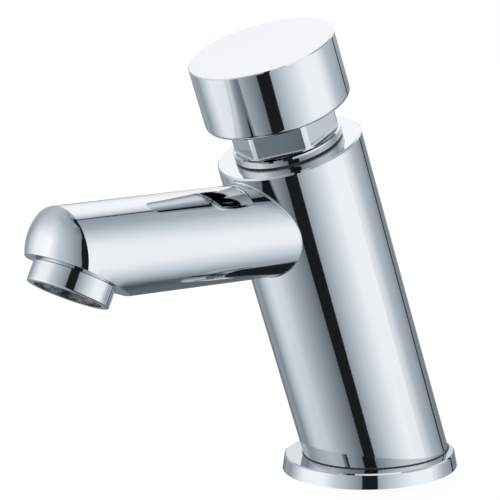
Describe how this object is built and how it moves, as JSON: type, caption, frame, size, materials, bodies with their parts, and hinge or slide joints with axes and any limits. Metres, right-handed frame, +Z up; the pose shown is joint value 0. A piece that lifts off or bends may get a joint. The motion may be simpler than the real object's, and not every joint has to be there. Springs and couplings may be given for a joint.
{
  "type": "basin mixer tap",
  "caption": "Slanted round basin mixer tap with a push-and-turn cap, a short ball-nosed spout and a forward-leaning aerator on a thin round base.",
  "frame": {"origin": "centre of the base's underside, where the fixing stud screws in", "axes": "+Z up, -Y the way the spout points, +X to the right of someone facing the spout's back"},
  "size_m": [0.0556, 0.1571, 0.1444],
  "materials": {
    "chrome": "mirror-polished chrome plate",
    "rubber": "matt black",
    "black_plastic": "satin moulded",
    "white_plastic": "satin moulded",
    "ceramic": "lapped white ceramic",
    "steel": "fine brushed",
    "brass": "machined"
  },
  "bodies": {
    "root": {"base_flange": "chrome", "base_gasket": "rubber", "body_casting": "chrome", "spout_tube": "chrome", "aerator_housing": "chrome", "aerator_seal": "rubber", "aerator_screen": "steel", "aerator_insert": "black_plastic", "bonnet_ring": "rubber", "bonnet_nut": "chrome", "bonnet_seal": "rubber", "guide_bush": "white_plastic", "stem_seal": "rubber", "seal_clip": "steel", "inlet_filters": "steel", "port_seals": "rubber", "cartridge_base": "white_plastic", "fixed_disc": "ceramic", "cartridge_housing": "brass"},
    "rotor": {"turning_disc": "ceramic", "mixing_sleeve": "white_plastic", "sleeve_seals": "rubber", "return_spring": "steel"},
    "plunger": {"valve_stem": "steel", "valve_nut": "steel", "valve_head": "brass", "valve_washer": "rubber", "dash_piston": "white_plastic", "cup_seal": "rubber", "push_cap": "chrome", "cap_screw": "steel"}
  },
  "joints": [
    {"name": "cap_turn", "type": "hinge", "parent": "root", "child": "rotor", "pos_m": [0, 0.0029, 0.0047], "axis": [0, -0.3223, 0.9466], "range_deg": [-45, 45]},
    {"name": "cap_press", "type": "slide", "parent": "rotor", "child": "plunger", "axis": [0, 0.3223, -0.9466], "range_m": [0, 0.007], "stiffness_N_per_m": 1200, "springref_m": -0.012, "deforming": ["return_spring"]}
  ]
}
